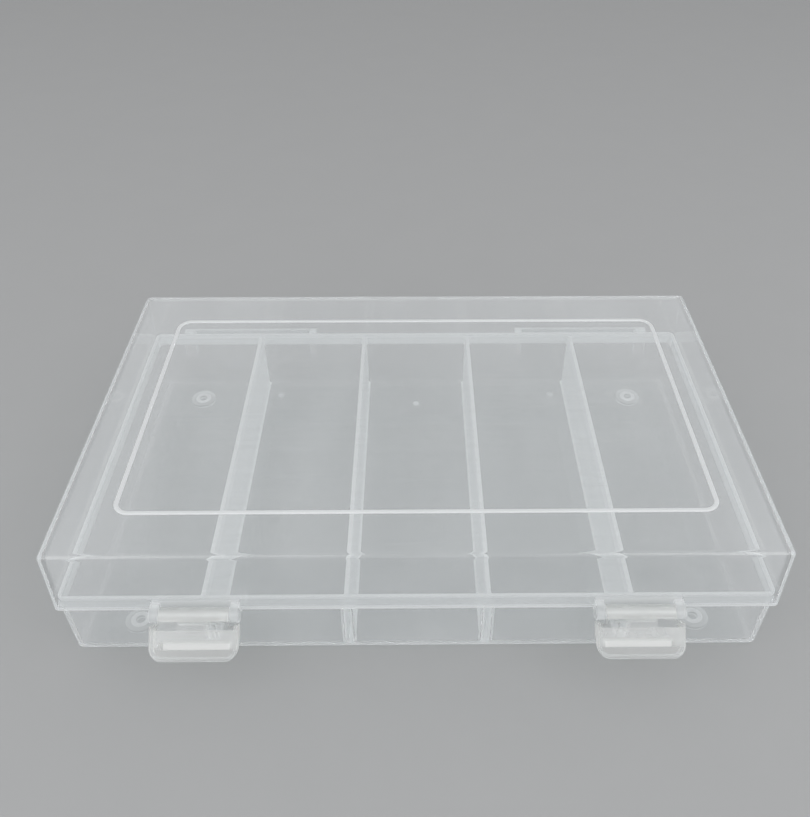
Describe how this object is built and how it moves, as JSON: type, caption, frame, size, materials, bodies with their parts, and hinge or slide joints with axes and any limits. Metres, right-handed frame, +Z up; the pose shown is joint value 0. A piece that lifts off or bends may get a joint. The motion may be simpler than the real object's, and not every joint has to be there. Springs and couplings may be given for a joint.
{
  "type": "hinged-lid compartment box",
  "caption": "Shallow clear plastic bead organizer with a deep hinged lid, long narrow compartments side by side and snap latches along the front.",
  "frame": {"origin": "centre of the underside of the tray's floor, on the plane of the floor and 0.6 mm above the feet's undersides", "axes": "+X along the long side, +Y towards the hinges at the rear, +Z up"},
  "size_m": [0.2114, 0.149, 0.0454],
  "materials": {
    "clear_body": "clear polypropylene, slightly milky, smooth gloss",
    "clear_lid": "clear polypropylene, slightly milky, smooth gloss",
    "milky_latch": "natural polypropylene, milky, satin"
  },
  "bodies": {
    "tray": {"tray": "clear_body"},
    "lid": {"lid": "clear_lid"},
    "latch_left": {"latch_left": "milky_latch"},
    "latch_right": {"latch_right": "milky_latch"}
  },
  "joints": [
    {"name": "lid_hinge", "type": "hinge", "parent": "tray", "child": "lid", "pos_m": [0, 0.0684, 0.0224], "axis": [-1, 0, 0], "range_deg": [0, 180]},
    {"name": "latch_left_pivot", "type": "hinge", "parent": "lid", "child": "latch_left", "pos_m": [-0.06395, -0.0682, 0.0229], "axis": [-1, 0, 0], "range_deg": [-42, 128]},
    {"name": "latch_right_pivot", "type": "hinge", "parent": "lid", "child": "latch_right", "pos_m": [0.06395, -0.0682, 0.0229], "axis": [-1, 0, 0], "range_deg": [-42, 128]}
  ]
}
